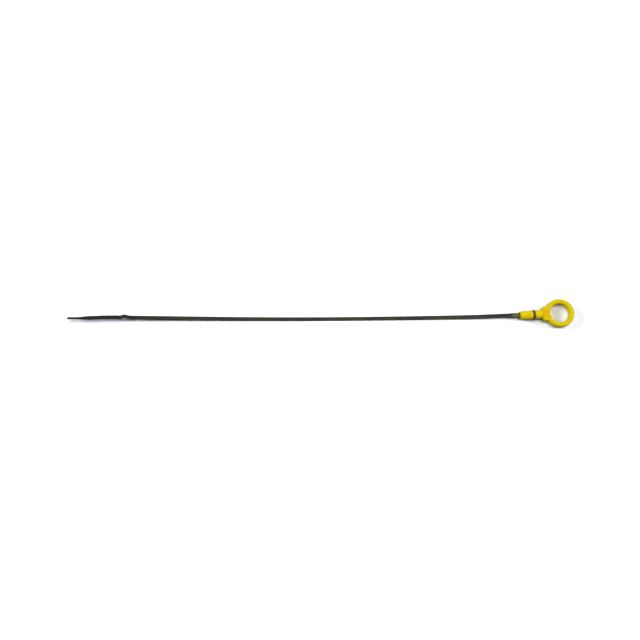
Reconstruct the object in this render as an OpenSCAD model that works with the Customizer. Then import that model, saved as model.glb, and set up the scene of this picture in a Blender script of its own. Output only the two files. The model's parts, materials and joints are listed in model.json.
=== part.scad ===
// Engine oil dipstick: a flat spring-steel blade whose root is moulded into a
// plastic ring handle, with a rubber seal ring in the groove of the plug.
// The dipstick lies as it comes to rest, on the bow of its blade and on its
// seal ring. Millimetres, +Z up, +X from the tip of the blade to the handle.
// The origin is on the surface under the middle of the whole length.

/* [Blade] */
// Length of blade from the front face of the plug to the tip
blade_length = 453; // [300:0.5:600]
// Width of the flat strip
blade_width = 4; // [3:0.1:4.8]
// Thickness of the strip
blade_thickness = 1; // [0.7:0.05:1.3]
// Radius of the bow along the blade, across its thickness
bow_radius = 4500; // [4000:50:9000]
// Radius of the slight bend along the blade, in the plane of the strip
camber_radius = 16500; // [9000:500:40000]
// Angle at which the strip leaves the plug, in its own plane
cant_angle = 1.5; // [0:0.1:2]

/* [Blade root] */
// Length of strip moulded into the plug
root_depth = 11; // [8:0.5:12]
// Width of the flared root
root_width = 5; // [4.2:0.1:5.6]
// Length of flared root that shows in front of the plug
root_show = 6.5; // [2:0.5:12]
// Length over which the flare narrows to the strip
root_taper = 2; // [1:0.5:6]

/* [Centring hump] */
// Height of the hump pressed into the strip
hump_height = 4.2; // [2:0.1:4.8]
// Length of strip that the hump takes up
hump_length = 11; // [10:0.5:16]
// Distance from the middle of the hump to the tip
hump_from_tip = 57; // [56:0.5:90]

/* [Level marks] */
// Distance from the full mark to the tip
full_from_tip = 49; // [42:0.5:50]
// Distance from the low mark to the tip
low_from_tip = 28; // [27:0.5:40]
// Width of a mark's notch along the strip
mark_width = 0.8; // [0.4:0.1:1.2]
// Depth of a mark's notch
mark_depth = 0.2; // [0.1:0.05:0.3]

/* [Twisted tip] */
// Angle through which the tip is twisted
twist_angle = 86; // [0:1:90]
// Length over which the strip twists
twist_length = 19; // [12:0.5:20]
// Length of fully twisted strip at the tip
twist_end = 6; // [3:0.5:7]
// Length over which the end of the strip is rounded
tip_round = 1.8; // [1:0.1:2.5]

/* [Plug] */
// Diameter of the plug that enters the guide tube
plug_diameter = 8.9; // [8.4:0.1:11]
// Length of plug from its front face to the shoulder
plug_length = 23; // [19.5:0.1:30]
// Length of the tapered lead-in at the front
lead_length = 2.8; // [1:0.1:4]
// Depth of the tapered lead-in
lead_depth = 0.9; // [0.3:0.1:1.2]
// Diameter of the holes left by the pins that hold the root in the mould
pin_hole_diameter = 1.2; // [0.8:0.1:2]
// Depth of the pin holes
pin_hole_depth = 1; // [0.5:0.1:2]
// Distance from the front face to the pin holes
pin_hole_from_front = 9.3; // [5:0.1:10]

/* [Seal ring] */
// Thickness of the seal ring's round section
seal_section = 2; // [1.6:0.1:2.2]
// Height of the seal ring above the plug
seal_proud = 0.55; // [0.3:0.05:0.8]
// Distance from the front face to the middle of the seal ring
seal_from_front = 13.8; // [13.2:0.1:17]
// Free width of the groove beside the seal ring
groove_play = 0.5; // [0.2:0.1:0.8]
// Clearance between the seal ring and the floor of its groove
seal_clearance = 0.03; // [0.01:0.01:0.1]

/* [Handle] */
// Thickness of the shoulder and the finger ring
handle_thickness = 8.2; // [7:0.1:9]
// Rounding of the handle's long edges
edge_round = 1.8; // [0.8:0.1:2.2]
// Width of the shoulder that stops on the guide tube
shoulder_width = 14.6; // [13:0.1:18]
// Rounding of the shoulder's corners
shoulder_corner = 1.2; // [0.6:0.1:2]
// Length of the cut across one of the shoulder's corners
corner_cut = 2.8; // [0:0.1:3.2]
// Length over which the plug sinks into the shoulder
blend_length = 4; // [2:0.5:6]
// Depth that the plug sinks under the shoulder's face
blend_depth = 0.5; // [0.2:0.1:1]
// Fillet between the shoulder and the finger ring
neck_fillet = 2.5; // [1:0.1:3]
// Distance from the shoulder's seat to the middle of the finger ring
ring_from_seat = 16.8; // [16.3:0.1:24]
// Outer diameter of the finger ring
ring_outer = 28.7; // [27:0.1:32]
// Diameter of the finger hole
ring_hole = 19; // [17:0.1:22]

/* [Hidden] */
$fn = 96;

// Steps of the sweep along plain and along shaped stretches of the strip
plain_step = 6;
shaped_step = 1;
hump_step = 0.5;
// Points on each rounded edge of the strip's section
edge_points = 5;
// How far cutting tools reach past what they cut
cut_over = 1;
// The neck's fillets are cut this much wider, so that they cross the faces they blend
neck_bite = 0.05;

// Radii that several pieces share
plug_r = plug_diameter / 2;
seal_r = seal_section / 2;
seal_centre_r = plug_r + seal_proud - seal_r;
groove_floor_r = seal_centre_r - seal_r - seal_clearance;
groove_width = seal_section + groove_play;
ring_r = ring_outer / 2;
hole_r = ring_hole / 2;
ring_x = plug_length + ring_from_seat;

// Stretches of the strip, as distances from the front face of the plug
flare_end = root_show + root_taper;
hump_middle = blade_length - hump_from_tip;
full_mark = blade_length - full_from_tip;
low_mark = blade_length - low_from_tip;
twist_stop = blade_length - twist_end;
twist_start = twist_stop - twist_length;
round_start = blade_length - tip_round;

// Angle in degrees that a length takes up on a circle
function arc_angle(length, radius) = length / radius * 180 / PI;

// Smooth rise from 0 to 1 as a value goes from one limit to the other
function smooth_rise(value, low, high) =
    let (share = max(0, min(1, (value - low) / (high - low))))
    (1 - cos(180 * share)) / 2;

// The bowed and cambered middle line of the strip, where s is the distance from the plug
function line_point(s) =
    s <= 0
        ? [-s, 0, 0]
        : [
            -bow_radius * sin(arc_angle(s, bow_radius)),
            camber_radius * (1 - cos(arc_angle(s, camber_radius))),
            bow_radius * (1 - cos(arc_angle(s, bow_radius)))
        ];

function line_direction(s) =
    let (
        along = max(0, s),
        step = [
            -cos(arc_angle(along, bow_radius)),
            sin(arc_angle(along, camber_radius)),
            sin(arc_angle(along, bow_radius))
        ]
    )
    step / norm(step);

// Height and slope of the hump at a distance along the strip
function hump_share(s) = (s - hump_middle) / hump_length;
function in_hump(s) = abs(hump_share(s)) < 0.5;
function hump_rise(s) =
    in_hump(s) ? hump_height * (1 + cos(360 * hump_share(s))) / 2 : 0;
function hump_slope(s) =
    in_hump(s) ? atan(-hump_height * PI / hump_length * sin(360 * hump_share(s))) : 0;

// Turn of the strip about its own length: the upper face turns towards +Y at the tip
function twist_at(s) = -twist_angle * smooth_rise(s, twist_start, twist_stop);

// Width of the strip, flared at the root and rounded at the tip
function end_share(s) = max(0, min(1, (s - round_start) / tip_round));
function width_at(s) =
    let (flat = root_width + (blade_width - root_width) * smooth_rise(s, root_show, flare_end))
    blade_thickness + (flat - blade_thickness) * sqrt(1 - end_share(s) * end_share(s));

// Depth of the notch that marks a level across the upper face
function notch_at(s) =
    (s == full_mark || s == low_mark) ? mark_depth : 0;

// Outline of the strip's section, as [across, through] points
function section_at(s) =
    let (
        half = blade_thickness / 2,
        reach = width_at(s) / 2 - half
    )
    [
        for (side = [0, 1], i = [0 : edge_points - 1])
            let (turn = -90 + 180 * side + 180 * i / (edge_points - 1))
            let (through = half * sin(turn))
            [
                (side == 0 ? reach : -reach) + half * cos(turn),
                min(through, half - notch_at(s))
            ]
    ];

// The section's points in space, leaning with the hump and turned with the twist
function ring_at(s) =
    let (
        ahead = line_direction(s),
        across = [-ahead[1], ahead[0], 0] * -1 / norm([ahead[0], ahead[1]]),
        up = cross(across, ahead),
        lean = hump_slope(s),
        normal = up * cos(lean) - ahead * sin(lean),
        turn = twist_at(s),
        middle = line_point(s) + up * hump_rise(s),
        wide = across * cos(turn) + normal * sin(turn),
        thick = normal * cos(turn) - across * sin(turn)
    )
    [for (p = section_at(s)) middle + wide * p[0] + thick * p[1]];

// Distances from low up to, but not including, high
function steps(low, high, step) =
    let (count = ceil((high - low) / step))
    [for (i = [0 : count - 1]) low + (high - low) * i / count];

function mark_steps(middle) = [middle - mark_width / 2, middle, middle + mark_width / 2];

// Every place along the strip that has a section
stations = concat(
    [-root_depth],
    steps(0, root_show, plain_step),
    steps(root_show, flare_end, shaped_step),
    steps(flare_end, hump_middle - hump_length / 2, plain_step),
    steps(hump_middle - hump_length / 2, hump_middle + hump_length / 2, hump_step),
    [hump_middle + hump_length / 2],
    mark_steps(full_mark),
    mark_steps(low_mark),
    steps(twist_start, twist_stop, shaped_step),
    [twist_stop, round_start],
    [for (turn = [15 : 15 : 90]) round_start + tip_round * sin(turn)]
);

// Where the tip lies beside the handle, before the dipstick is laid down
tip_bent = line_point(blade_length);
tip_canted = [
    tip_bent[0] * cos(cant_angle) + tip_bent[1] * sin(cant_angle),
    tip_bent[1] * cos(cant_angle) - tip_bent[0] * sin(cant_angle),
    tip_bent[2]
];

// The surface touches the bow of the blade and the lowest point of the seal ring
under_blade = bow_radius + blade_thickness / 2;
seal_to_bow = [seal_from_front, bow_radius + seal_centre_r];
rest_pitch = acos((under_blade - seal_r) / norm(seal_to_bow)) - atan2(seal_to_bow[0], seal_to_bow[1]);
rest_height = under_blade - bow_radius * cos(rest_pitch);

// The tip and the finger ring are laid in line with X, with the origin midway
tip_x = tip_canted[0] * cos(rest_pitch) - tip_canted[2] * sin(rest_pitch);
ring_centre_x = ring_x * cos(rest_pitch);
rest_yaw = atan2(tip_canted[1], ring_centre_x - tip_x);
far_tip = tip_x * cos(rest_yaw) - tip_canted[1] * sin(rest_yaw);
far_ring = ring_centre_x * cos(rest_yaw) + ring_r;
rest_shift = [-(far_tip + far_ring) / 2, -ring_centre_x * sin(rest_yaw), rest_height];

// Lays a piece down from the handle's frame: plug axis on X, front face at the origin
module at_rest() {
    translate(rest_shift)
        rotate([0, 0, rest_yaw])
            rotate([0, -rest_pitch, 0])
                children();
}

module rounded_rectangle(width, height, corner) {
    square([width - 2 * corner, height], center = true);
    square([width, height - 2 * corner], center = true);
    for (x = [-1, 1], y = [-1, 1])
        translate([x * (width / 2 - corner), y * (height / 2 - corner)])
            circle(corner);
}

// A round hole through the handle's thickness, with rounded rims
module rounded_hole(radius) {
    flat = handle_thickness / 2 - edge_round;
    rotate_extrude()
        difference() {
            translate([0, -handle_thickness / 2 - cut_over])
                square([radius + edge_round, handle_thickness + 2 * cut_over]);
            translate([radius, -flat])
                square([edge_round + cut_over, 2 * flat]);
            for (side = [-1, 1])
                translate([radius + edge_round, side * flat])
                    circle(edge_round);
        }
}

// A round disc of the handle's thickness, with rounded rims
module rounded_disc(radius) {
    flat = handle_thickness / 2 - edge_round;
    rotate_extrude() {
        translate([0, -handle_thickness / 2])
            square([radius - edge_round, handle_thickness]);
        translate([0, -flat])
            square([radius, 2 * flat]);
        for (side = [-1, 1])
            translate([radius - edge_round, side * flat])
                circle(edge_round);
    }
}

// The shoulder's long edges are rounded, and its seat keeps crisp edges.
// One of the two corners beside the seat is cut across.
module shoulder() {
    length = ring_from_seat;
    cut_side = corner_cut * sqrt(2);
    difference() {
        intersection() {
            translate([plug_length + length / 2, 0, 0])
                linear_extrude(handle_thickness, center = true)
                    rounded_rectangle(length, shoulder_width, shoulder_corner);
            translate([plug_length, 0, 0])
                rotate([90, 0, 90])
                    linear_extrude(length)
                        rounded_rectangle(shoulder_width, handle_thickness, edge_round);
        }
        translate([plug_length, -shoulder_width / 2, 0])
            rotate([0, 0, 45])
                cube([cut_side, cut_side, handle_thickness + 2 * cut_over], center = true);
    }
}

// Fills the inner corner between the shoulder and the ring with a rounded fillet
module neck(side) {
    centre_y = shoulder_width / 2 + neck_fillet;
    reach = ring_r + neck_fillet;
    centre_x = ring_x - sqrt(reach * reach - centre_y * centre_y);
    inner_r = (ring_r + hole_r) / 2;
    inner_x = ring_x + (centre_x - ring_x) * inner_r / reach;
    difference() {
        linear_extrude(handle_thickness, center = true)
            polygon([
                [centre_x, 0],
                [centre_x, side * centre_y],
                [inner_x, side * centre_y * inner_r / reach]
            ]);
        translate([centre_x, side * centre_y, 0])
            rounded_hole(neck_fillet + neck_bite);
    }
}

// The plug with its lead-in and the groove for the seal ring
module plug() {
    groove_start = seal_from_front - groove_width / 2;
    groove_end = seal_from_front + groove_width / 2;
    rotate([0, 90, 0])
        rotate_extrude()
            polygon([
                [0, 0],
                [plug_r - lead_depth, 0],
                [plug_r, lead_length],
                [plug_r, groove_start],
                [groove_floor_r, groove_start],
                [groove_floor_r, groove_end],
                [plug_r, groove_end],
                [plug_r, plug_length],
                [handle_thickness / 2 - blend_depth, plug_length + blend_length],
                [0, plug_length + blend_length]
            ]);
}

// The slot that the blade's root fills, with its rounded edges
module root_slot() {
    reach = (root_width - blade_thickness) / 2;
    rotate([0, 0, -cant_angle]) {
        translate([-cut_over, -reach, -blade_thickness / 2])
            cube([root_depth + cut_over, 2 * reach, blade_thickness]);
        for (side = [-1, 1])
            translate([-cut_over, side * reach, 0])
                rotate([0, 90, 0])
                    cylinder(d = blade_thickness, h = root_depth + cut_over);
    }
}

// The steel blade: one strip with its flared root, hump, level marks and twisted tip
module blade() {
    corners = 2 * edge_points;
    last = len(stations) - 1;
    color([0.25, 0.25, 0.22])
        at_rest()
            rotate([0, 0, -cant_angle])
                polyhedron(
                    points = [for (s = stations) each ring_at(s)],
                    faces = concat(
                        [[for (i = [0 : corners - 1]) i]],
                        [
                            for (k = [0 : last - 1], i = [0 : corners - 1])
                                let (here = k * corners, next = here + corners, j = (i + 1) % corners)
                                [here + i, next + i, next + j, here + j]
                        ],
                        [[for (i = [corners - 1 : -1 : 0]) last * corners + i]]
                    )
                );
}

// The finger ring and the shoulder, with the finger hole cut through both
module ring_head() {
    difference() {
        union() {
            translate([ring_x, 0, 0])
                rounded_disc(ring_r);
            shoulder();
        }
        translate([ring_x, 0, 0])
            rounded_hole(hole_r);
    }
    for (side = [-1, 1])
        neck(side);
}

// The handle: finger ring, shoulder and plug moulded as one piece round the root
module handle() {
    color([0.86, 0.74, 0.1])
        at_rest()
            difference() {
                union() {
                    ring_head();
                    plug();
                }
                root_slot();
                for (turn = [0, 180])
                    rotate([turn, 0, 0])
                        translate([pin_hole_from_front, 0, plug_r - pin_hole_depth])
                            cylinder(d = pin_hole_diameter, h = pin_hole_depth + cut_over);
            }
}

// The rubber seal ring in its groove
module seal_ring() {
    color([0.15, 0.14, 0.13])
        at_rest()
            translate([seal_from_front, 0, 0])
                rotate([0, 90, 0])
                    rotate_extrude()
                        translate([seal_centre_r, 0])
                            circle(seal_r);
}

blade();
handle();
seal_ring();
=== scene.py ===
import json
import math

import bmesh
import bpy
from bpy.props import FloatProperty, FloatVectorProperty, PointerProperty
from bpy.types import Operator, Panel, PropertyGroup
from mathutils import Matrix, Vector


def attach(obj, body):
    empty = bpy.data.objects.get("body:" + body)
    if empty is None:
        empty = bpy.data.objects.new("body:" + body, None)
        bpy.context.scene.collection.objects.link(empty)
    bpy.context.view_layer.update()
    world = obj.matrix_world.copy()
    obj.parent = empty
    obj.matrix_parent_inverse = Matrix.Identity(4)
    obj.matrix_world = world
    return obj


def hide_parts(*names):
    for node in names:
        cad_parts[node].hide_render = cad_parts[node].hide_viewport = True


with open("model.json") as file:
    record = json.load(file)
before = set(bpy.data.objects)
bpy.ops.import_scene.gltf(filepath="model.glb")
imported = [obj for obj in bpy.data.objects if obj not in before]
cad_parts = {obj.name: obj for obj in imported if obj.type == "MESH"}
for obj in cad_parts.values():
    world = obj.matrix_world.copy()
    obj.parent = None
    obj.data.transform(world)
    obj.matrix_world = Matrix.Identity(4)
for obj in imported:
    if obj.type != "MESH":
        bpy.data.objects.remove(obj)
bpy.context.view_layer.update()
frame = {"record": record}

bl_info = {
    "name": "Engine Oil Dipstick",
    "version": (1, 0, 0),
    "blender": (4, 5, 0),
    "location": "3D View > Sidebar > Dipstick",
    "description": "Blade, ring handle and seal ring of an engine oil dipstick, on a pale studio floor",
    "category": "Object",
}

BODY = "root"
MM = 0.001
WHITE = (1, 1, 1, 1)


# Kinds of settings

def length(name, millimetres, description):
    """A length, given here in millimetres and kept in metres."""
    return FloatProperty(
        name=name, description=description, default=millimetres * MM,
        unit="LENGTH", subtype="DISTANCE", precision=5,
    )


def angle(name, degrees, description):
    """An angle, given here in degrees and kept in radians."""
    return FloatProperty(
        name=name, description=description, default=math.radians(degrees),
        unit="ROTATION", subtype="ANGLE",
    )


def factor(name, value, description, highest=1.0):
    """A plain number from 0 up to a highest value."""
    return FloatProperty(
        name=name, description=description, default=value,
        min=0, max=highest, subtype="FACTOR",
    )


def colour(name, red, green, blue, description):
    """A colour as it shows on a screen, with parts from 0 to 255."""
    return FloatVectorProperty(
        name=name, description=description, default=(red / 255, green / 255, blue / 255),
        min=0, max=1, subtype="COLOR_GAMMA",
    )


class DIPSTICK_PG_blade(PropertyGroup):
    """Sizes and finish of the steel blade."""

    reach: length("Length", 453, "From the front face of the plug to the tip")
    width: length("Width", 4, "Width of the flat strip")
    thickness: length("Thickness", 1, "Thickness of the strip")
    bow_radius: length("Bow radius", 4500, "Radius of the bow along the blade")
    camber_radius: length("Camber radius", 16500, "Radius of the bend in the plane of the strip")
    cant: angle("Cant", 1.5, "Angle at which the strip leaves the plug")
    root_depth: length("Root depth", 11, "Length of strip moulded into the plug")
    root_width: length("Root width", 4.6, "Width of the flared root")
    root_show: length("Root show", 6.5, "Flared root that shows in front of the plug")
    root_taper: length("Root taper", 2, "Length over which the flare narrows")
    hump_height: length("Hump height", 4.2, "Height of the centring hump")
    hump_length: length("Hump length", 11, "Length of strip that the hump takes up")
    hump_from_tip: length("Hump from tip", 57, "Middle of the hump to the tip")
    full_from_tip: length("Full mark", 49, "Full mark to the tip")
    low_from_tip: length("Low mark", 28, "Low mark to the tip")
    mark_width: length("Mark width", 0.8, "Width of a level mark's notch")
    mark_depth: length("Mark depth", 0.2, "Depth of a level mark's notch")
    hatch_pitch: length("Hatch pitch", 1.4, "Distance between the hatched lines of the measuring zone")
    hatch_width: length("Hatch width", 0.3, "Width of one hatched line")
    hatch_depth: length("Hatch depth", 0.07, "Depth of one hatched line")
    twist: angle("Twist", 50, "Turn of the strip at the tip")
    twist_length: length("Twist length", 15, "Length over which the strip twists")
    twist_end: length("Twist end", 9, "Fully twisted strip at the tip")
    root_set: length("Root set", 0.6, "How far the strip leaves the plug beside the axis")
    root_set_length: length("Root set length", 50, "Length over which the strip comes back to its line")
    drift: length("Drift", 0.8, "How far the strip wanders sideways towards the hump")
    drift_start: length("Drift start", 180, "Distance from the plug at which the strip starts to wander")
    tip_set: length("Tip set", 1.9, "How far the end past the hump is bent back sideways")
    tip_set_length: length("Tip set length", 50, "Length of the end that is bent back")
    tip_round: length("Tip round", 1.3, "Length over which the end is rounded")
    nose: length("Nose", 0.45, "Length over which the end is rounded through its thickness")
    steel: colour("Steel", 32, 32, 31, "Oil-darkened spring steel")
    film: colour("Oil film", 44, 47, 27, "Steel under a film of old oil")
    wet: colour("Wet steel", 12, 12, 14, "Steel wetted by oil towards the tip")
    # Painted reflection of the yellow plug on the strip's root
    root_reflection: colour("Reflecting steel", 90, 94, 58, "Reflecting steel of the root")
    worn: colour("Worn steel", 92, 92, 88, "Rolling lines that are worn bright")


class DIPSTICK_PG_handle(PropertyGroup):
    """Sizes and finish of the moulded handle."""

    plug_diameter: length("Plug diameter", 8.9, "Diameter of the plug that enters the guide tube")
    plug_length: length("Plug length", 23, "Front face of the plug to the shoulder")
    lead_length: length("Lead length", 2.8, "Length of the tapered lead-in")
    lead_depth: length("Lead depth", 0.9, "Depth of the tapered lead-in")
    plug_edge: length("Plug edge", 0.25, "Rounding of the plug's edges")
    blend_length: length("Blend length", 4, "Length over which the plug sinks into the shoulder")
    pin_hole: length("Pin hole", 1.2, "Diameter of the pin holes")
    pin_hole_depth: length("Pin hole depth", 1, "Depth of the pin holes")
    pin_hole_from_front: length("Pin hole place", 9.3, "Front face to the pin holes")
    seal_section: length("Seal section", 2, "Thickness of the seal ring's round section")
    seal_proud: length("Seal proud", 0.55, "Height of the seal ring above the plug")
    seal_from_front: length("Seal place", 14.3, "Front face to the middle of the seal ring")
    groove_play: length("Groove play", 0.5, "Free width of the groove beside the seal ring")
    groove_clearance: length("Groove clearance", 0.03, "Clearance under the seal ring")
    thickness: length("Thickness", 8.2, "Thickness of the shoulder and the finger ring")
    edge_round: length("Edge rounding", 1.8, "Rounding of the long edges")
    seat_round: length("Seat rounding", 1.1, "Rounding of the edges round the seat")
    shoulder_width: length("Shoulder width", 14.6, "Width of the shoulder")
    shoulder_corner: length("Shoulder corner", 1.2, "Rounding of the shoulder's corners")
    corner_cut: length("Corner cut", 1.7, "Length of the cut across one of the shoulder's corners")
    neck_fillet: length("Neck fillet", 2.5, "Fillet between the shoulder and the ring")
    ring_from_seat: length("Ring place", 16.8, "Shoulder's seat to the middle of the ring")
    ring_outer: length("Ring outer", 28.7, "Outer diameter of the finger ring")
    ring_hole: length("Ring hole", 19, "Diameter of the finger hole")
    crown: length("Crown", 0.1, "How far the flat faces fall towards their edges")
    parting: length("Parting line", 0.02, "Height of the moulding line round the edge")
    plastic: colour("Plastic", 225, 196, 3, "Yellow moulded plastic")
    deep: colour("Deep plastic", 222, 180, 1, "Plastic where the moulding is thick")
    pale: colour("Pale plastic", 214, 204, 8, "Paler flow streaks in the plastic")
    # Painted highlight: the whole plug is made brighter to stand for the sheen on its lit top
    plug_sheen: colour("Sheened plastic", 242, 212, 12, "Plastic of the plug, rubbed bright by the guide tube")
    # Painted shade on the plug's front face; the same dark colour also darkens the plastic round the pin
    # holes
    painted_dark: colour("Darkening", 84, 54, 4, "Old oil on the plug's front face and round the pin holes")
    rubber: colour("Rubber", 56, 48, 30, "Seal rubber, browned by oil")
    rubber_worn: colour("Worn rubber", 98, 92, 42, "Rubber where the guide tube rubs it")


class DIPSTICK_PG_stage(PropertyGroup):
    """Camera, floor and lamps."""

    focal_length: FloatProperty(
        name="Focal length", description="Lens, in millimetres", default=33.75, unit="CAMERA"
    )
    camera_distance: length("Camera distance", 600.7, "Camera to the point it looks at")
    camera_elevation: angle("Camera elevation", 76, "Height of the camera above the horizon")
    camera_azimuth: angle("Camera azimuth", 0, "Turn of the camera round the object")
    camera_roll: angle("Camera roll", -0.49, "Turn of the picture")
    aim: FloatVectorProperty(
        name="Aim", description="Point the camera looks at", default=(-0.00073, -0.00462, 0.006),
        subtype="TRANSLATION",
    )
    floor_size: length("Floor size", 6000, "Side of the floor")
    floor_colour: FloatVectorProperty(
        name="Floor colour", description="How much light the floor gives back to the camera",
        default=(1.2, 1.23, 1.32),
    )
    floor_bounce: factor("Floor bounce", 0.14, "How much light the floor gives back to the object")
    sky: factor("Sky", 0.04, "Level of the light from all round")
    lamp_angle: angle("Lamp angle", 24, "How wide each lamp looks from the object")
    left_level: factor("Left level", 0.32, "Level of the lamp past the tip, on a flat face", highest=4)
    left_azimuth: angle("Left azimuth", -100, "Turn of the left lamp round the object")
    left_elevation: angle("Left elevation", 28, "Height of the left lamp above the horizon")
    right_level: factor("Right level", 0.32, "Level of the lamp past the ring, on a flat face", highest=4)
    right_azimuth: angle("Right azimuth", 95, "Turn of the right lamp round the object")
    right_elevation: angle("Right elevation", 28, "Height of the right lamp above the horizon")
    top_level: factor("Top level", 0.36, "Level of the lamp behind and above, on a flat face", highest=4)
    top_azimuth: angle("Top azimuth", 180, "Turn of the top lamp round the object")
    top_elevation: angle("Top elevation", 88, "Height of the top lamp above the horizon")


# Where the pieces sit

def mount(name):
    """A mount of the record, by its name."""
    return next(m for m in frame["record"]["mounts"] if m["name"] == name)


def handle_frame(handle):
    """The handle's own frame: X along the plug to the ring, Z through the finger hole, front face at 0."""
    plug, stop = mount("tube_plug"), mount("shoulder_stop")
    along = -Vector(plug["axis"]).normalized()
    to_stop = Vector(stop["pos_m"]) - Vector(plug["pos_m"])
    to_seat = along * to_stop.dot(along)
    across = (to_stop - to_seat).normalized()
    up = along.cross(across)
    front = Vector(plug["pos_m"]) + to_seat - along * handle.plug_length
    placed = Matrix((along, across, up)).transposed().to_4x4()
    placed.translation = front
    return placed


# Mesh tools

# Distance between points that are welded into one
WELD = 1e-7
LOOSE_WELD = 1e-6

# Angle from which an edge looks sharp, in degrees
SHARP_STEEL = 50
SHARP_PLASTIC = 40
SHARP_RUBBER = 60


class Pen:
    """Draws an outline in a bmesh, as a chain of vertices."""

    def __init__(self, bm, start):
        self.bm = bm
        self.tip = bmesh.ops.create_vert(bm, co=start)["vert"][0]

    def line(self, end, pieces=1):
        """A straight line to the end, in equal pieces."""
        start = self.tip.co.copy()
        for k in range(pieces):
            self.tip = bmesh.ops.extrude_vert_indiv(self.bm, verts=[self.tip])["verts"][0]
            self.tip.co = start.lerp(Vector(end), (k + 1) / pieces)

    def arc(self, centre, axis, turn, steps):
        """An arc round the centre, in equal steps."""
        made = bmesh.ops.spin(
            self.bm, geom=[self.tip], cent=centre, axis=axis, angle=turn, steps=steps
        )
        self.tip = next(g for g in made["geom_last"] if isinstance(g, bmesh.types.BMVert))


def weld(bm, distance=WELD):
    """Joins vertices that lie together."""
    bmesh.ops.remove_doubles(bm, verts=bm.verts[:], dist=distance)


def in_scene(name, data):
    """A new object in the scene, with its mesh, lamp or camera."""
    made = bpy.data.objects.new(name, data)
    bpy.context.scene.collection.objects.link(made)
    return made


def from_bmesh(name, bm):
    """A new object with the shape of the bmesh, which is freed."""
    mesh = bpy.data.meshes.new(name)
    bmesh.ops.recalc_face_normals(bm, faces=bm.faces[:])
    bm.to_mesh(mesh)
    bm.free()
    return in_scene(name, mesh)


def new_piece(name, bm, slot, *nodes):
    """Turns the bmesh into a piece that rides on the body, and stands for CAD nodes."""
    piece = from_bmesh(name, bm)
    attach(piece, BODY)
    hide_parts(*nodes)
    return piece


def combine(piece, bm, operation):
    """Joins the bmesh's shape to the piece, or cuts it away."""
    other = from_bmesh("tool", bm)
    modifier = piece.modifiers.new("combine", "BOOLEAN")
    modifier.operation = operation
    modifier.object = other
    modifier.solver = "EXACT"
    depsgraph = bpy.context.evaluated_depsgraph_get()
    mesh = bpy.data.meshes.new_from_object(piece.evaluated_get(depsgraph))
    piece.modifiers.clear()
    old = piece.data
    mesh.name = old.name
    piece.data = mesh
    bpy.data.meshes.remove(old)
    bpy.data.objects.remove(other)
    if not mesh.polygons:
        raise RuntimeError(f"{piece.name} came out empty")


def shade_smooth(piece, sharp_degrees):
    """Smooth shading, apart from edges that are sharper than the angle."""
    piece.data.shade_smooth()
    piece.data.set_sharp_from_angle(angle=math.radians(sharp_degrees))


# Shape of the blade

# Distance between two sections of the strip, by what the stretch holds
STEP_HIDDEN = 4 * MM
STEP_ROOT = 1.5 * MM
STEP_BEND = 0.25 * MM
STEP_LONG = 3 * MM
STEP_SHORT = 1.2 * MM
STEP_MARK = 0.08 * MM
STEP_HATCH = 0.15 * MM
STEP_END = 1 * MM
STEP_TWIST = 0.5 * MM
STEP_ROUND = 0.15 * MM
STEP_NOSE = 0.045 * MM

# Pieces of the strip's section: across one face, and round one edge
FACE_COLUMNS = 24
EDGE_STEPS = 8

# Share of half the thickness from which a point lies on the strip's upper face
UPPER_FACE = 0.98

# Share of the strip's section that is left at its very end, squared
NOSE_LEAST = 0.02


def smooth_rise(value, low, high):
    """Rises smoothly from 0 to 1 as the value goes from low to high."""
    share = min(1, max(0, (value - low) / (high - low)))
    return (1 - math.cos(math.pi * share)) / 2


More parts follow.
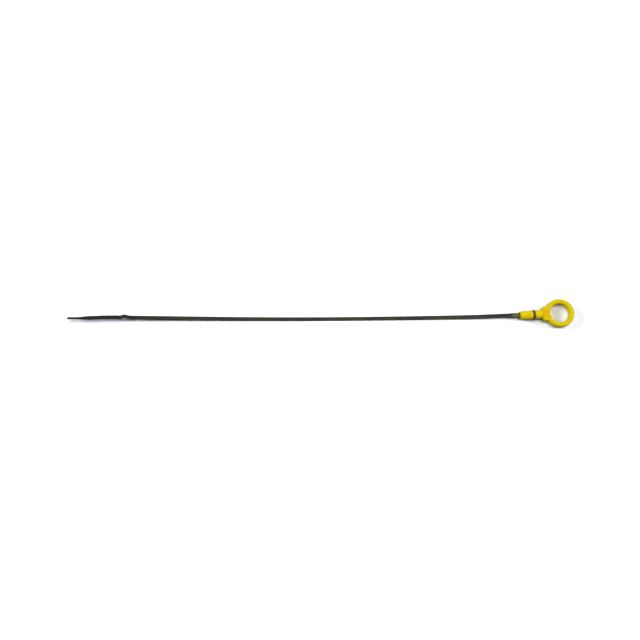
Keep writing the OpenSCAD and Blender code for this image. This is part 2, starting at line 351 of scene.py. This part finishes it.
class Strip:
    """The middle line and the section of the blade, where s is the distance from the plug.

    Places are in the handle's frame, before the strip is canted.
    """

    def __init__(self, blade):
        self.blade = blade
        self.half = blade.thickness / 2
        self.flare_end = blade.root_show + blade.root_taper
        self.hump = blade.reach - blade.hump_from_tip
        self.full_mark = blade.reach - blade.full_from_tip
        self.low_mark = blade.reach - blade.low_from_tip
        self.twist_stop = blade.reach - blade.twist_end
        self.twist_start = self.twist_stop - blade.twist_length
        self.round_start = blade.reach - blade.tip_round
        self.nose_start = blade.reach - blade.nose

    def stretches(self):
        """Where each stretch of the strip stops, and the step of its sections, from the root to the tip."""
        b = self.blade
        half_mark = b.mark_width / 2
        half_hump = b.hump_length / 2
        return [
            (0, STEP_HIDDEN),
            (b.root_show, STEP_ROOT),
            (self.flare_end, STEP_BEND),
            (self.hump - half_hump, STEP_LONG),
            (self.hump + half_hump, STEP_BEND),
            (self.full_mark - half_mark, STEP_SHORT),
            (self.full_mark + half_mark, STEP_MARK),
            (self.low_mark - half_mark, STEP_HATCH),
            (self.low_mark + half_mark, STEP_MARK),
            (self.twist_start, STEP_END),
            (self.twist_stop, STEP_TWIST),
            (self.round_start, STEP_END),
            (self.nose_start, STEP_ROUND),
            (b.reach, STEP_NOSE),
        ]

    def middle(self, s):
        """The middle of the strip, without the hump."""
        b = self.blade
        if s <= 0:
            return Vector((-s, b.root_set, 0))
        bow, camber = s / b.bow_radius, s / b.camber_radius
        drift = b.root_set * (1 - smooth_rise(s, 0, b.root_set_length))
        drift += b.drift * smooth_rise(s, b.drift_start, self.hump - b.hump_length)
        drift -= b.tip_set * smooth_rise(s, b.reach - b.tip_set_length, b.reach)
        return Vector((
            -b.bow_radius * math.sin(bow),
            b.camber_radius * (1 - math.cos(camber)) + drift,
            b.bow_radius * (1 - math.cos(bow)),
        ))

    def ahead(self, s):
        """The direction of the strip's line towards the tip, without its sideways wander."""
        b, along = self.blade, max(0, s)
        bow, camber = along / b.bow_radius, along / b.camber_radius
        return Vector((-math.cos(bow), math.sin(camber), math.sin(bow))).normalized()

    def hump_rise(self, s):
        """Height of the hump, and the angle of its slope."""
        b = self.blade
        share = (s - self.hump) / b.hump_length
        if abs(share) >= 0.5:
            return 0, 0
        turn = 2 * math.pi * share
        rise = b.hump_height * (1 + math.cos(turn)) / 2
        return rise, math.atan(-b.hump_height * math.pi / b.hump_length * math.sin(turn))

    def half_width(self, s):
        """Half the width, flared at the root and rounded at the tip."""
        b = self.blade
        flat = b.root_width + (b.width - b.root_width) * smooth_rise(s, b.root_show, self.flare_end)
        end = min(1, max(0, (s - self.round_start) / b.tip_round))
        return (b.thickness + (flat - b.thickness) * math.sqrt(1 - end * end)) / 2

    def sunk(self, s, across):
        """Depth of the level marks and of the hatching between them, on the upper face."""
        b = self.blade
        for mark in (self.full_mark, self.low_mark):
            if abs(s - mark) < b.mark_width / 2:
                return b.mark_depth * (1 + math.cos(2 * math.pi * (s - mark) / b.mark_width)) / 2
        if not self.full_mark < s < self.low_mark:
            return 0
        deep = 0
        for side in (-1, 1):
            off = (s + side * across) % b.hatch_pitch
            off = min(off, b.hatch_pitch - off)
            deep = max(deep, 1 - 2 * off / b.hatch_width)
        return b.hatch_depth * deep

    def placed(self, point):
        """Where a point of the straight strip lies on the bent one."""
        b, s = self.blade, point.x
        flat = b.width / 2 - self.half
        reach = self.half_width(s) - self.half
        side = math.copysign(1, point.y)
        across = point.y * reach / flat if abs(point.y) <= flat else point.y + side * (reach - flat)
        through = point.z
        if through > UPPER_FACE * self.half:
            through -= self.sunk(s, across)
        nose = min(1, max(0, (s - self.nose_start) / b.nose))
        shrink = math.sqrt(max(NOSE_LEAST, 1 - nose * nose))
        ahead = self.ahead(s)
        sideways = Vector((ahead.y, -ahead.x, 0)).normalized()
        up = sideways.cross(ahead)
        rise, lean = self.hump_rise(s)
        normal = up * math.cos(lean) - ahead * math.sin(lean)
        turn = -b.twist * smooth_rise(s, self.twist_start, self.twist_stop)
        wide = sideways * math.cos(turn) + normal * math.sin(turn)
        thick = normal * math.cos(turn) - sideways * math.sin(turn)
        return self.middle(s) + up * rise + (wide * across + thick * through) * shrink


def draw_section(bm, blade, start):
    """Draws the outline of the strip's section, with its two rounded edges, across X at start."""
    half = blade.thickness / 2
    flat = blade.width / 2 - half
    pen = Pen(bm, (start, -flat, -half))
    for side in (1, -1):
        pen.line((start, side * flat, -side * half), FACE_COLUMNS)
        pen.arc((start, side * flat, 0), (1, 0, 0), math.pi, EDGE_STEPS)
    weld(bm)


def make_blade(blade, handle):
    """The strip, drawn straight from section to section and then bent along its line."""
    strip = Strip(blade)
    bm = bmesh.new()
    start = -blade.root_depth
    draw_section(bm, blade, start)
    ring = bm.verts[:] + bm.edges[:]
    first = bm.edges[:]
    for stop, step in strip.stretches():
        steps = max(1, round((stop - start) / step))
        made = bmesh.ops.spin(
            bm, geom=ring, cent=(0, 0, 0), axis=(1, 0, 0), angle=0,
            dvec=((stop - start) / steps, 0, 0), steps=steps,
        )
        ring = made["geom_last"]
        start = stop
    for loop in (first, [g for g in ring if isinstance(g, bmesh.types.BMEdge)]):
        bmesh.ops.contextual_create(bm, geom=loop)
    flat_map = bm.loops.layers.uv.new("Strip")
    for face in bm.faces:
        for corner in face.loops:
            corner[flat_map].uv = corner.vert.co.xy
    cant = Matrix.Rotation(-blade.cant, 4, "Z")
    place = handle_frame(handle) @ cant
    for vert in bm.verts:
        vert.co = place @ strip.placed(vert.co)
    piece = new_piece("dipstick_blade", bm, "blade_steel", "blade")
    shade_smooth(piece, SHARP_STEEL)
    return piece


# Shape of the handle

# Pieces of the outline round the shoulder and the ring
SEAT_PIECES = 24
SIDE_PIECES = 6
LOW_SIDE_PIECES = 4
CUT_PIECES = 6
CORNER_STEPS = 8
CUT_CORNER_STEPS = 4
FILLET_STEPS = 10
RING_STEPS = 192

# Rows of the shoulder and the ring: rises beside the moulding line in heights of the line,
# turns round a rounded edge, and shares of the way across the flat face
LINE_RISES = (2, 4, 12)
EDGE_TURNS = [math.radians(turn) for turn in range(0, 91, 15)]
FACE_SHARES = (0.15, 0.35, 0.5, 0.65, 0.85)

# Length over which the rounding grows past the seat, in corners of the shoulder
ROUNDING_GROWTH = 3

# Pieces of the plug's profile, of its turn round the axis, of the seal's section and of a pin hole
NOSE_PIECES = 4
LEAD_PIECES = 4
LEAD_CORNER_STEPS = 5
FRONT_PIECES = 8
GROOVE_WALL_PIECES = 2
GROOVE_FLOOR_PIECES = 3
GROOVE_EDGE_STEPS = 4
BACK_PIECES = 3
BLEND_PIECES = 8
END_PIECES = 2
TURN_STEPS = 96
SEAL_STEPS = 40
PIN_STEPS = 32

# Lean of the plug's lead-in in radians, and how far it stays below the plug in roundings of its edge
LEAD_LEAN = 0.36
LEAD_DROP = 0.4


def draw_head(bm, handle):
    """Draws the outline round the shoulder and the finger ring, at half its thickness."""
    seat = handle.plug_length
    side = handle.shoulder_width / 2
    corner = handle.shoulder_corner
    cut = handle.corner_cut
    fillet = handle.neck_fillet
    ring_x = seat + handle.ring_from_seat
    reach = handle.ring_outer / 2 + fillet
    fillet_x = ring_x - math.sqrt(reach ** 2 - (side + fillet) ** 2)
    meet = math.atan2(side + fillet, ring_x - fillet_x)
    quarter = math.pi / 2
    up = Vector((0, 0, 1))
    slant = math.sin(quarter / 2)
    soft = corner * math.tan(quarter / 4)
    pen = Pen(bm, (seat, cut + soft - side, 0))
    pen.line((seat, side - corner, 0), SEAT_PIECES)
    pen.arc((seat + corner, side - corner, 0), up, -quarter, CORNER_STEPS)
    pen.line((fillet_x, side, 0), SIDE_PIECES)
    pen.arc((fillet_x, side + fillet, 0), up, quarter - meet, FILLET_STEPS)
    pen.arc((ring_x, 0, 0), up, -2 * (math.pi - meet), RING_STEPS)
    pen.arc((fillet_x, -side - fillet, 0), up, quarter - meet, FILLET_STEPS)
    pen.line((seat + cut + soft, -side, 0), LOW_SIDE_PIECES)
    pen.arc((seat + cut + soft, corner - side, 0), up, -quarter / 2, CUT_CORNER_STEPS)
    pen.line((seat + corner * (1 - slant), soft - side + cut - corner * slant, 0), CUT_PIECES)
    pen.arc((seat + corner, soft - side + cut, 0), up, -quarter / 2, CUT_CORNER_STEPS)
    weld(bm, LOOSE_WELD)


def outward(vert):
    """The direction out of a closed outline at one of its vertices."""
    before, after = (edge.other_vert(vert).co for edge in vert.link_edges[:2])
    along = (after - before).normalized()
    return Vector((along.y, -along.x, 0))


def head_rows(handle, centre):
    """The rows of the head, from its outline over the top into the hole.

    Each row is a function of a point's place on the outline, the direction out of the outline
    there, the direction from the ring's middle and the rounding of the outer edge.
    """
    line = handle.parting
    hole = handle.ring_hole / 2
    inner = handle.edge_round
    flat = handle.thickness / 2 - handle.crown

    def beside_line(rise):
        return lambda at, out, ray, outer: at - out * line + Vector((0, 0, rise * line))

    def outer_edge(turn):
        return lambda at, out, ray, outer: (
            at - out * (line + (outer - line) * (1 - math.cos(turn)))
            + Vector((0, 0, flat - outer + outer * math.sin(turn)))
        )

    def face(share):
        bulge = handle.crown * (1 - (2 * share - 1) ** 2)
        return lambda at, out, ray, outer: (
            (at - out * outer).lerp(centre + ray * (hole + inner), share)
            + Vector((0, 0, flat + bulge))
        )

    def inner_edge(turn):
        return lambda at, out, ray, outer: (
            centre + ray * (hole + inner * (1 - math.cos(turn)))
            + Vector((0, 0, flat - inner * (1 - math.sin(turn))))
        )

    return [
        *(beside_line(rise) for rise in LINE_RISES),
        *(outer_edge(turn) for turn in EDGE_TURNS),
        *(face(share) for share in FACE_SHARES),
        *(inner_edge(turn) for turn in reversed(EDGE_TURNS)),
        lambda at, out, ray, outer: centre + ray * hole,
    ]


def make_head(handle):
    """One shell of the shoulder and the finger ring, made by extruding its outline over the top."""
    bm = bmesh.new()
    draw_head(bm, handle)
    bm.verts.ensure_lookup_table()
    centre = Vector((handle.plug_length + handle.ring_from_seat, 0, 0))
    seat_end = handle.plug_length + handle.shoulder_corner + handle.corner_cut
    growth_end = seat_end + ROUNDING_GROWTH * handle.shoulder_corner
    outline = []
    for vert in bm.verts:
        out = outward(vert)
        if out.dot(vert.co - centre) < 0:
            out.negate()
        growth = smooth_rise(vert.co.x, seat_end, growth_end)
        rounding = handle.seat_round + (handle.edge_round - handle.seat_round) * growth
        outline.append((vert.co.copy(), out, (vert.co - centre).normalized(), rounding))
    ring = bm.verts[:]
    edges = bm.edges[:]
    for row in head_rows(handle, centre):
        made = bmesh.ops.extrude_edge_only(bm, edges=edges)["geom"]
        fresh = {g for g in made if isinstance(g, bmesh.types.BMVert)}
        edges = [g for g in made if isinstance(g, bmesh.types.BMEdge) and fresh.issuperset(g.verts)]
        ring = [next(v for v in (e.other_vert(old) for e in old.link_edges) if v in fresh) for old in ring]
        for vert, facts in zip(ring, outline):
            vert.co = row(*facts)
    half = bm.verts[:] + bm.edges[:] + bm.faces[:]
    bmesh.ops.mirror(bm, geom=half, axis="Z", merge_dist=LOOSE_WELD)
    weld(bm)
    return bm


def turn_profile(bm):
    """Turns a profile once round the X axis, into a closed skin."""
    bmesh.ops.spin(
        bm, geom=bm.verts[:] + bm.edges[:], cent=(0, 0, 0), axis=(1, 0, 0),
        angle=2 * math.pi, steps=TURN_STEPS, use_merge=True,
    )
    weld(bm, LOOSE_WELD)


def make_plug(handle):
    """The plug, turned from its profile, as far as it sinks into the shoulder."""
    radius = handle.plug_diameter / 2
    edge = handle.plug_edge
    floor = radius + handle.seal_proud - handle.seal_section - handle.groove_clearance
    half_groove = (handle.seal_section + handle.groove_play) / 2
    start, end = handle.seal_from_front - half_groove, handle.seal_from_front + half_groove
    nose = radius - handle.lead_depth
    seat = handle.plug_length
    sunk = handle.thickness / 2 - handle.crown - edge
    around = Vector((0, 0, 1))
    quarter = math.pi / 2
    bm = bmesh.new()
    pen = Pen(bm, (0, 0, 0))
    pen.line((0, nose - edge, 0), NOSE_PIECES)
    pen.arc((edge, nose - edge, 0), around, LEAD_LEAN - quarter, LEAD_CORNER_STEPS)
    pen.line((handle.lead_length - edge, radius - LEAD_DROP * edge, 0), LEAD_PIECES)
    pen.line((handle.lead_length + edge, radius, 0))
    pen.line((start - edge, radius, 0), FRONT_PIECES)
    pen.arc((start - edge, radius - edge, 0), around, -quarter, GROOVE_EDGE_STEPS)
    pen.line((start, floor + edge, 0), GROOVE_WALL_PIECES)
    pen.arc((start + edge, floor + edge, 0), around, quarter, GROOVE_EDGE_STEPS)
    pen.line((end - edge, floor, 0), GROOVE_FLOOR_PIECES)
    pen.arc((end - edge, floor + edge, 0), around, quarter, GROOVE_EDGE_STEPS)
    pen.line((end, radius - edge, 0), GROOVE_WALL_PIECES)
    pen.arc((end + edge, radius - edge, 0), around, -quarter, GROOVE_EDGE_STEPS)
    pen.line((seat, radius, 0), BACK_PIECES)
    for k in range(1, BLEND_PIECES + 1):
        share = k / BLEND_PIECES
        pen.line((seat + handle.blend_length * share, radius + (sunk - radius) * share ** 2, 0))
    pen.line((seat + handle.blend_length, 0, 0), END_PIECES)
    turn_profile(bm)
    return bm


def make_pin_holes(handle):
    """Two blind holes, above and below the strip."""
    bm = bmesh.new()
    radius = handle.pin_hole / 2
    for side in (-1, 1):
        place = Matrix.Translation((handle.pin_hole_from_front, 0, side * handle.plug_diameter / 2))
        bmesh.ops.create_cone(
            bm, cap_ends=True, segments=PIN_STEPS, radius1=radius, radius2=radius,
            depth=2 * handle.pin_hole_depth, matrix=place,
        )
    return bm


def make_handle(handle):
    """The head with the plug joined to it and the pin holes cut out."""
    piece = new_piece("dipstick_handle", make_head(handle), "handle_plastic", "handle")
    combine(piece, make_plug(handle), "UNION")
    combine(piece, make_pin_holes(handle), "DIFFERENCE")
    piece.data.transform(handle_frame(handle))
    shade_smooth(piece, SHARP_PLASTIC)
    return piece


def make_seal(handle):
    """The seal ring, turned from its round section."""
    radius = handle.seal_section / 2
    centre = handle.plug_diameter / 2 + handle.seal_proud - radius
    bm = bmesh.new()
    pen = Pen(bm, (handle.seal_from_front + radius, centre, 0))
    pen.arc((handle.seal_from_front, centre, 0), (0, 0, 1), 2 * math.pi, SEAL_STEPS)
    weld(bm, LOOSE_WELD)
    turn_profile(bm)
    bmesh.ops.transform(bm, matrix=handle_frame(handle), verts=bm.verts[:])
    piece = new_piece("dipstick_seal_ring", bm, "seal_rubber", "seal_ring")
    shade_smooth(piece, SHARP_RUBBER)
    return piece


# Shader tools

# Depth of the fine bumps of all finishes
BUMP_DEPTH = 0.02 * MM


def linear(shown):
    """The linear colour of one that is given as it shows on a screen, by the sRGB curve."""
    parts = [p / 12.92 if p <= 0.04045 else ((p + 0.055) / 1.055) ** 2.4 for p in shown]
    return (*parts, 1.0)


class Value:
    """The output of a node, so that shader maths reads as a sum."""

    def __init__(self, graph, socket):
        self.graph = graph
        self.socket = socket

    def maths(self, operation, *inputs):
        """A node that works out one number from its inputs."""
        return self.graph.node("ShaderNodeMath", {"operation": operation}, dict(enumerate(inputs)))

    def __add__(self, other):
        return self.maths("ADD", self, other)

    def __sub__(self, other):
        return self.maths("SUBTRACT", self, other)

    def __rsub__(self, other):
        return self.maths("SUBTRACT", other, self)

    def __mul__(self, other):
        return self.maths("MULTIPLY", self, other)

    __radd__ = __add__
    __rmul__ = __mul__

    def between(self, low, high):
        """0 below low, 1 above high and smooth between them."""
        return self.graph.node(
            "ShaderNodeMapRange", {"interpolation_type": "SMOOTHSTEP", "clamp": True},
            {"Value": self, "From Min": low, "From Max": high},
        )

    def fading(self, start, stretch):
        """1 before a stretch that lies past the start, 0 after it and smooth between them."""
        return 1 - self.between(start + stretch[0], start + stretch[1])


class Graph:
    """The nodes of one material, or of the world."""

    def __init__(self, owner, output="ShaderNodeOutputMaterial"):
        owner.use_nodes = True
        self.owner = owner
        self.tree = owner.node_tree
        self.tree.nodes.clear()
        self.output = self.tree.nodes.new(output)

    def put(self, socket, value):
        """Links a value to an input, or sets the input to a plain number or colour."""
        if isinstance(value, Value):
            self.tree.links.new(value.socket, socket)
        else:
            socket.default_value = value

    def node(self, kind, settings, inputs, output=0):
        """A node with its settings and inputs, as the value of one of its outputs."""
        made = self.tree.nodes.new(kind)
        for name, value in settings.items():
            setattr(made, name, value)
        for name, value in inputs.items():
            self.put(made.inputs[name], value)
        return Value(self, made.outputs[output])

    def mix(self, amount, first, second):
        """A colour between two."""
        made = self.tree.nodes.new("ShaderNodeMix")
        made.data_type = "RGBA"
        sockets = {"Factor_Float": amount, "A_Color": first, "B_Color": second}
        for socket in made.inputs:
            if socket.identifier in sockets:
                self.put(socket, sockets[socket.identifier])
        return Value(self, next(s for s in made.outputs if s.identifier == "Result_Color"))

    def noise(self, place, detail, roughness, scale=1.0, stretch=(1, 1, 1)):
        """Smooth noise over a place, with its waves per metre as a scale or along each axis."""
        moved = self.node("ShaderNodeMapping", {}, {"Vector": place, "Scale": stretch})
        return self.node(
            "ShaderNodeTexNoise", {},
            {"Vector": moved, "Scale": scale, "Detail": detail, "Roughness": roughness},
        )

    def object_place(self):
        """The place on the piece, in metres."""
        return self.node("ShaderNodeTexCoord", {}, {}, "Object")

    def distance_along(self, place, start, direction):
        """How far a place lies past a start, in a direction."""
        from_start = self.node("ShaderNodeVectorMath", {"operation": "SUBTRACT"}, {0: place, 1: start})
        return self.node(
            "ShaderNodeVectorMath", {"operation": "DOT_PRODUCT"}, {0: from_start, 1: direction}, "Value"
        )

    def bump(self, height, strength):
        """Fine bumps that follow a height."""
        return self.node(
            "ShaderNodeBump", {}, {"Height": height, "Distance": BUMP_DEPTH, "Strength": strength}
        )

    def surface(self, inputs):
        """The material with one plain shader."""
        return self.finish(self.node("ShaderNodeBsdfPrincipled", {}, inputs))

    def looked_at(self):
        """1 for what the camera sees, also in a mirror or through something clear, and 0 for other light."""
        rays = ("Is Camera Ray", "Is Glossy Ray", "Is Transmission Ray")
        camera, glossy, clear = (self.node("ShaderNodeLightPath", {}, {}, ray) for ray in rays)
        return camera.maths("MAXIMUM", camera, glossy.maths("MAXIMUM", glossy, clear))

    def finish(self, shader):
        """The material or the world, with the shader as its surface."""
        self.tree.links.new(shader.socket, self.output.inputs["Surface"])
        return self.owner


# Finishes

# Noise of the finishes, with waves per metre
ROLLED = {"stretch": (30, 2600, 1), "detail": 4.0, "roughness": 0.6}
PATCHES = {"stretch": (22, 160, 1), "detail": 3.0, "roughness": 0.5}
STAINS = {"stretch": (120, 420, 1), "detail": 3.0, "roughness": 0.6}
FLOW = {"scale": 60, "detail": 3.0, "roughness": 0.5}
FINE = {"scale": 900, "detail": 2.0, "roughness": 0.5}
MOTTLED = {"scale": 500, "detail": 4.0, "roughness": 0.6}

# Steel: how far from the hump oil wets it, and how the painted reflection of the yellow plug at the root
# ends
WET_BEFORE = 60 * MM
WET_PAST = 25 * MM
ROOT_FADE = (-1.5 * MM, 1.5 * MM)

# Steel: levels of noise where a colour comes in, and how much of it
FILM_LEVELS = (0.42, 0.62)
WORN_LEVELS = (0.4, 0.75)
WORN_SHARE = 0.3

# Steel: shine, and the heights of its bumps
STEEL_METALLIC = 0.35
STEEL_ROUGH = 0.42
STAIN_ROUGH = 0.12
WET_ROUGH = 0.08
STEEL_SPECULAR = 0.1
ROLLED_HEIGHT = 0.6
STAIN_HEIGHT = 0.4
STEEL_BUMP = 0.5

# Plastic: stretches past the seat where the plug and the thick middle end
PLUG_FADE = (-3 * MM, 1 * MM)
THICK_FADE = (4 * MM, 9 * MM)

# Plastic: stretches off the axis, past the front face and off a pin hole's middle
SIDE_FADE = (3 * MM, 6.5 * MM)
FRONT_SHADE_FADE = (-0.2 * MM, 1.4 * MM)
PIN_FADE = (0.4 * MM, 0.75 * MM)

# Plastic: levels of noise where the pale colour comes in, and how much of each colour
PALE_LEVELS = (0.35, 0.65)
PLUG_SHEEN_SHARE = 0.8
DEEP_SHARE = 0.9
DEEP_LESS_IN_PLUG = 0.7
FRONT_SHADE_SHARE = 0.9
PIN_SHARE = 0.5

# Plastic: shine and bumps
PLASTIC_ROUGH = 0.3
FINE_ROUGH = 0.12
PLASTIC_SPECULAR = 0.05
PLASTIC_BUMP = 0.4

# Rubber: levels of noise where the worn colour comes in, shine and bumps
RUBBER_LEVELS = (0.4, 0.65)
RUBBER_ROUGH = 0.45
MOTTLED_ROUGH = 0.15
RUBBER_SPECULAR = 0.2
RUBBER_BUMP = 0.5


def steel_finish(blade):
    """Rolled spring steel, darkened by oil, with a painted reflection of the yellow plug at the root and wet
    towards the tip.
    """
    g = Graph(bpy.data.materials.new("blade_steel"))
    strip = g.node("ShaderNodeUVMap", {"uv_map": "Strip"}, {})
    from_plug = g.node("ShaderNodeSeparateXYZ", {}, {"Vector": strip}, "X")
    rolled, patches, stains = (g.noise(strip, **kind) for kind in (ROLLED, PATCHES, STAINS))
    hump = Strip(blade).hump
    wetted = from_plug.between(hump - WET_BEFORE, hump + WET_PAST)
    root = from_plug.fading(blade.root_show, ROOT_FADE)
    body = g.mix(patches.between(*FILM_LEVELS), linear(blade.steel), linear(blade.film))
    body = g.mix(wetted, body, linear(blade.wet))
    # Painted reflection of the yellow plug on the strip's root
    body = g.mix(root, body, linear(blade.root_reflection))
    body = g.mix(rolled.between(*WORN_LEVELS) * WORN_SHARE, body, linear(blade.worn))
    return g.surface({
        "Base Color": body,
        "Metallic": STEEL_METALLIC - wetted * STEEL_METALLIC,
        "Roughness": STEEL_ROUGH + stains * STAIN_ROUGH + wetted * WET_ROUGH,
        "Specular IOR Level": STEEL_SPECULAR,
        "Normal": g.bump(rolled * ROLLED_HEIGHT + stains * STAIN_HEIGHT, STEEL_BUMP),
    })


def plastic_finish(handle):
    """Moulded plastic, deeper in colour where it is thick, with a painted highlight over the plug, painted
    shade on its front face and darker round the pin holes.
    """
    g = Graph(bpy.data.materials.new("handle_plastic"))
    place = g.object_place()
    flow, fine = (g.noise(place, **kind) for kind in (FLOW, FINE))
    placed = handle_frame(handle)
    along, across = (
        g.distance_along(place, placed.translation, axis.to_3d()) for axis in placed.col[:2]
    )
    in_plug = along.fading(handle.plug_length, PLUG_FADE)
    off_axis = across.maths("ABSOLUTE", across)
    thick = along.fading(handle.plug_length, THICK_FADE) * off_axis.fading(0, SIDE_FADE)
    front = along.fading(0, FRONT_SHADE_FADE)
    from_pin = along - handle.pin_hole_from_front
    pin = (from_pin * from_pin + across * across).fading(0, [reach ** 2 for reach in PIN_FADE])
    body = g.mix(flow.between(*PALE_LEVELS), linear(handle.plastic), linear(handle.pale))
    # Painted highlight: the whole plug is made brighter to stand for the sheen on its lit top
    body = g.mix(in_plug * PLUG_SHEEN_SHARE, body, linear(handle.plug_sheen))
    body = g.mix(thick * (DEEP_SHARE - in_plug * DEEP_LESS_IN_PLUG), body, linear(handle.deep))
    # Painted shade on the plug's front face
    body = g.mix(front * FRONT_SHADE_SHARE, body, linear(handle.painted_dark))
    # Darker round the pin holes
    body = g.mix(pin * PIN_SHARE, body, linear(handle.painted_dark))
    return g.surface({
        "Base Color": body,
        "Roughness": PLASTIC_ROUGH + fine * FINE_ROUGH,
        "Specular IOR Level": PLASTIC_SPECULAR,
        "Normal": g.bump(fine, PLASTIC_BUMP),
    })


def rubber_finish(handle):
    """Seal rubber, browned by oil, with mottled worn patches."""
    g = Graph(bpy.data.materials.new("seal_rubber"))
    mottled = g.noise(g.object_place(), **MOTTLED)
    body = g.mix(mottled.between(*RUBBER_LEVELS), linear(handle.rubber), linear(handle.rubber_worn))
    return g.surface({
        "Base Color": body,
        "Roughness": RUBBER_ROUGH + mottled * MOTTLED_ROUGH,
        "Specular IOR Level": RUBBER_SPECULAR,
        "Normal": g.bump(mottled, RUBBER_BUMP),
    })


def floor_finish(stage):
    """A white floor that keeps shadows, and that gives little light back to the object."""
    g = Graph(bpy.data.materials.new("floor"))
    shade = g.mix(g.looked_at(), (stage.floor_bounce,) * 3 + (1,), (*stage.floor_colour, 1))
    return g.finish(g.node("ShaderNodeBsdfDiffuse", {}, {"Color": shade}))


# Stage

# Width of the camera's sensor, in millimetres
SENSOR_WIDTH = 36


def direction(azimuth, elevation):
    """From the object to a place round it. Azimuth 0 is towards -Y, and the turn is to +X."""
    flat = math.cos(elevation)
    return Vector((math.sin(azimuth) * flat, -math.cos(azimuth) * flat, math.sin(elevation)))


def make_floor(stage):
    """The white floor that the object lies on."""
    bm = bmesh.new()
    bmesh.ops.create_grid(bm, x_segments=1, y_segments=1, size=stage.floor_size / 2)
    floor = from_bmesh("floor", bm)
    floor.data.materials.append(floor_finish(stage))


def make_sky(stage):
    """Weak light from all round, which is plain white where it is looked at or mirrored."""
    world = bpy.data.worlds.new("studio")
    bpy.context.scene.world = world
    g = Graph(world, "ShaderNodeOutputWorld")
    strength = g.looked_at() * (1 - stage.sky) + stage.sky
    g.finish(g.node("ShaderNodeBackground", {}, {"Color": WHITE, "Strength": strength}))


def make_lamp(stage, name, level, azimuth, elevation):
    """A wide far lamp that lights a level face to the given share of its own colour."""
    lamp = bpy.data.lights.new(name, "SUN")
    lamp.angle = stage.lamp_angle
    lamp.energy = level * math.pi / math.sin(elevation)
    made = in_scene(name, lamp)
    made.rotation_euler = direction(azimuth, elevation).to_track_quat("Z", "Y").to_euler()


def make_camera(stage):
    """The camera, at its distance from the point it looks at."""
    camera = bpy.data.cameras.new("camera")
    camera.lens = stage.focal_length
    camera.sensor_width = SENSOR_WIDTH
    made = in_scene("camera", camera)
    towards = direction(stage.camera_azimuth, stage.camera_elevation)
    made.location = Vector(stage.aim) + towards * stage.camera_distance
    turn = towards.to_track_quat("Z", "Y") @ Matrix.Rotation(stage.camera_roll, 3, "Z").to_quaternion()
    made.rotation_euler = turn.to_euler()
    bpy.context.scene.camera = made


# Operators

class DIPSTICK_OT_blade(Operator):
    """Model the steel blade with its hump, level marks and twisted tip"""

    bl_idname = "dipstick.blade"
    bl_label = "Blade"

    def execute(self, context):
        blade = make_blade(context.scene.dipstick_blade, context.scene.dipstick_handle)
        blade.data.materials.append(steel_finish(context.scene.dipstick_blade))
        return {"FINISHED"}


class DIPSTICK_OT_handle(Operator):
    """Model the moulded handle: finger ring, shoulder and plug"""

    bl_idname = "dipstick.handle"
    bl_label = "Handle"

    def execute(self, context):
        handle = make_handle(context.scene.dipstick_handle)
        handle.data.materials.append(plastic_finish(context.scene.dipstick_handle))
        return {"FINISHED"}


class DIPSTICK_OT_seal(Operator):
    """Model the rubber seal ring in the groove of the plug"""

    bl_idname = "dipstick.seal"
    bl_label = "Seal Ring"

    def execute(self, context):
        seal = make_seal(context.scene.dipstick_handle)
        seal.data.materials.append(rubber_finish(context.scene.dipstick_handle))
        return {"FINISHED"}


class DIPSTICK_OT_stage(Operator):
    """Set up the floor, the soft light and the camera"""

    bl_idname = "dipstick.stage"
    bl_label = "Stage"

    def execute(self, context):
        stage = context.scene.dipstick_stage
        context.scene.view_settings.view_transform = "Standard"
        make_floor(stage)
        make_sky(stage)
        make_lamp(stage, "left_lamp", stage.left_level, stage.left_azimuth, stage.left_elevation)
        make_lamp(stage, "right_lamp", stage.right_level, stage.right_azimuth, stage.right_elevation)
        make_lamp(stage, "top_lamp", stage.top_level, stage.top_azimuth, stage.top_elevation)
        make_camera(stage)
        return {"FINISHED"}


class DIPSTICK_PT_parts(Panel):
    """Lists the operators that make the dipstick"""

    bl_idname = "DIPSTICK_PT_parts"
    bl_label = "Dipstick"
    bl_space_type = "VIEW_3D"
    bl_region_type = "UI"
    bl_category = "Dipstick"

    def draw(self, context):
        for made in OPERATORS:
            self.layout.operator(made.bl_idname)
        for group, kind in GROUPS.items():
            settings = getattr(context.scene, group)
            box = self.layout.box()
            for name in kind.__annotations__:
                box.prop(settings, name)


OPERATORS = (DIPSTICK_OT_stage, DIPSTICK_OT_blade, DIPSTICK_OT_handle, DIPSTICK_OT_seal)
GROUPS = {
    "dipstick_blade": DIPSTICK_PG_blade,
    "dipstick_handle": DIPSTICK_PG_handle,
    "dipstick_stage": DIPSTICK_PG_stage,
}


def register():
    for kept in (*GROUPS.values(), *OPERATORS, DIPSTICK_PT_parts):
        bpy.utils.register_class(kept)
    for name, group in GROUPS.items():
        setattr(bpy.types.Scene, name, PointerProperty(type=group))


def unregister():
    for name in GROUPS:
        delattr(bpy.types.Scene, name)
    for kept in (DIPSTICK_PT_parts, *OPERATORS, *GROUPS.values()):
        bpy.utils.unregister_class(kept)


def main():
    register()
    bpy.ops.dipstick.stage()
    bpy.ops.dipstick.blade()
    bpy.ops.dipstick.handle()
    bpy.ops.dipstick.seal()


if __name__ == "__main__":
    main()
